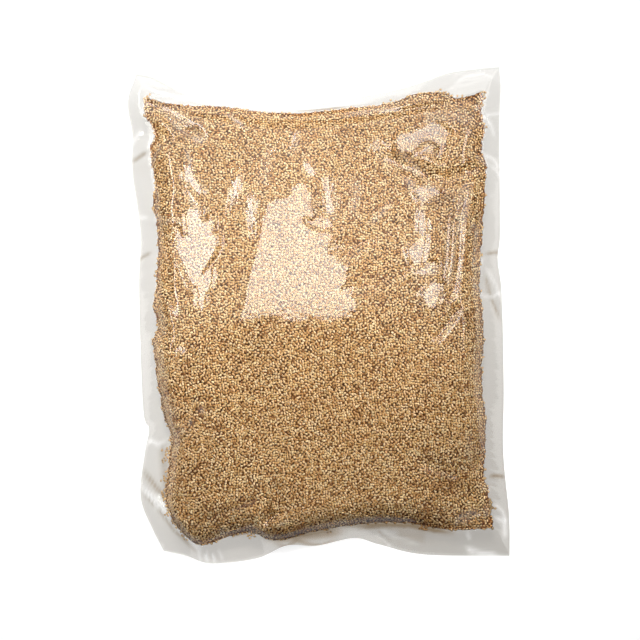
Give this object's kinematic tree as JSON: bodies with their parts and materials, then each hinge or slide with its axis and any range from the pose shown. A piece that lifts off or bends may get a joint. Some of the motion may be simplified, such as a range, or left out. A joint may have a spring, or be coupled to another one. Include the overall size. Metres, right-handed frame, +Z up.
{
  "type": "vacuum pouch of sesame seeds",
  "caption": "Clear vacuum-sealed pouch packed with toasted sesame seeds, lying flat on its back, with a thin wavy sealed margin round the filling.",
  "frame": {"origin": "on the table, under the middle of the whole pouch", "axes": "+Z up out of the shown side, +Y towards the pouch's top end, +X to its right as shown"},
  "size_m": [0.3084, 0.402, 0.0363],
  "materials": {
    "clear_film": "clear glossy film, shrunk tight over the seeds",
    "sesame_seeds": "toasted golden-brown seeds, satin hulls, paler and darker ones mixed"
  },
  "bodies": {
    "root": {"seed_pouch": "clear_film"}
  },
  "joints": []
}
